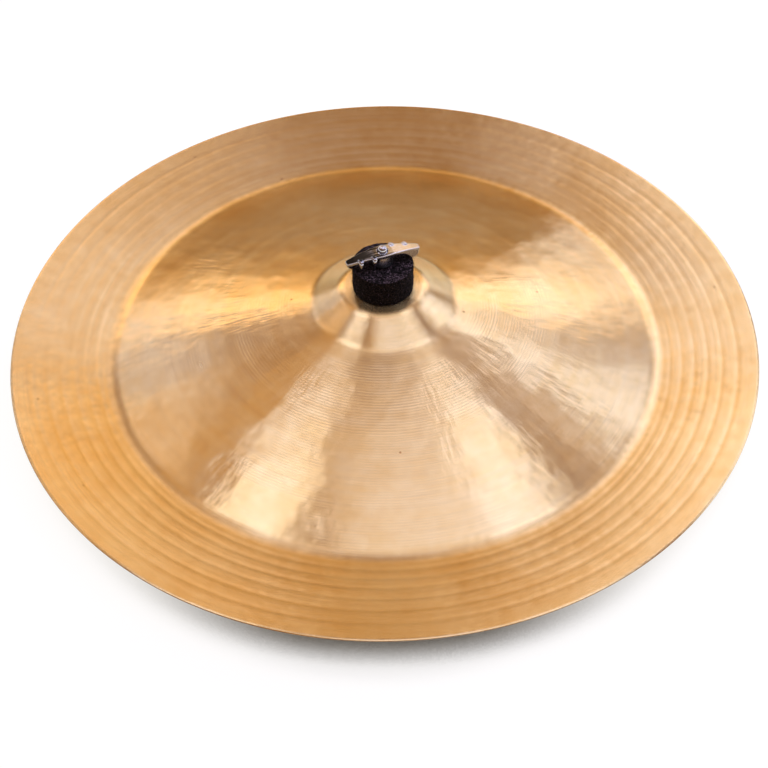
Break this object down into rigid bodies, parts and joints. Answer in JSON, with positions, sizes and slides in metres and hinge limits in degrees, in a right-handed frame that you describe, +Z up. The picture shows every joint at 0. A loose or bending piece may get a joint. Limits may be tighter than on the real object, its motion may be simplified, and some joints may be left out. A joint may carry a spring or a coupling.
{
  "type": "china cymbal",
  "caption": "Round bronze cymbal with a small bell, a shallow bow and an upturned flange, held on a short threaded rod between two felts by a wing nut.",
  "frame": {"origin": "centre of the coupler's bottom face, where the stand's thread enters, on the rod's axis", "axes": "+Z up along the rod from the stand to the wing nut; +X to the right and -Y towards the viewer of the picture"},
  "size_m": [0.4826, 0.4826, 0.0852],
  "materials": {
    "bronze": "turned and polished bronze with fine tone grooves and shallow hammer marks",
    "black_felt": "pressed wool felt, black with a few paler fibres",
    "chrome": "die casting, chromed, lightly worn",
    "bright_steel": "bright plated steel, rolled thread",
    "zinc_plate": "satin zinc plated steel",
    "nylon": "moulded nylon, black"
  },
  "bodies": {
    "post": {"stand_coupler": "zinc_plate", "threaded_rod": "bright_steel", "rod_sleeve": "nylon", "cup_washer": "zinc_plate"},
    "felts": {"bottom_felt": "black_felt", "top_felt": "black_felt"},
    "dish": {"cymbal": "bronze"},
    "captive_washer": {"nut_washer": "zinc_plate"},
    "nut": {"wing_nut": "chrome"}
  },
  "joints": [
    {"name": "cymbal_spin", "type": "hinge", "parent": "post", "child": "felts", "pos_m": [0, 0, 0.051], "axis": [0, 0, 1], "continuous": true},
    {"name": "cymbal_rock", "type": "hinge", "parent": "felts", "child": "dish", "pos_m": [0, 0, 0.051], "axis": [1, 0, 0], "range_deg": [-10, 10], "deforming": ["bottom_felt", "top_felt"]},
    {"name": "nut_travel", "type": "slide", "parent": "post", "child": "captive_washer", "axis": [0, 0, 1], "range_m": [0, 0.00675]},
    {"name": "nut_turn", "type": "hinge", "parent": "captive_washer", "child": "nut", "pos_m": [0, 0, 0.0738], "axis": [0, 0, 1], "range_deg": [0, 2430]}
  ],
  "couplings": [
    {"joint": "nut_turn", "follows": "nut_travel", "rad_per_m": 6283.2}
  ]
}
